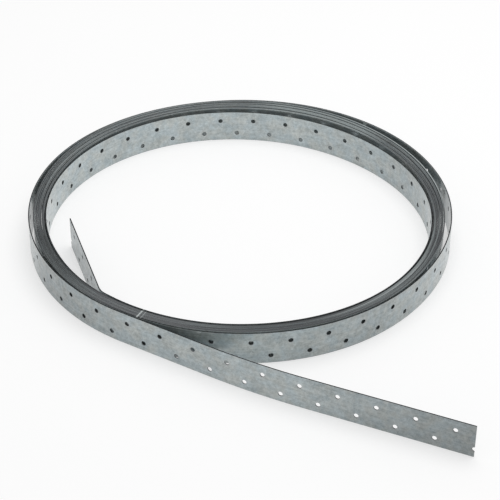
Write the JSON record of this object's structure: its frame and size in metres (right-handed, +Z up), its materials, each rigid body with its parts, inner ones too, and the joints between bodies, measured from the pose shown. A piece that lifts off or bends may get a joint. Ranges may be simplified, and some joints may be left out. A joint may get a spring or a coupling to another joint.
{
  "type": "perforated strap coil",
  "caption": "Loose coil of galvanised steel strap lying on its edge, with staggered rows of nail holes, a straight free outer end and a bent inner end, for nailing across timber",
  "frame": {"origin": "middle of the footprint, on the floor that the coil lies on", "axes": "+Z up along the coil's axis, +X along the straight free outer end towards its tip, +Y from that end towards the coil"},
  "size_m": [0.3838, 0.314, 0.025],
  "materials": {
    "zinc": "satin hot-dip zinc, softly mottled"
  },
  "bodies": {
    "root": {"strap": "zinc"}
  },
  "joints": []
}
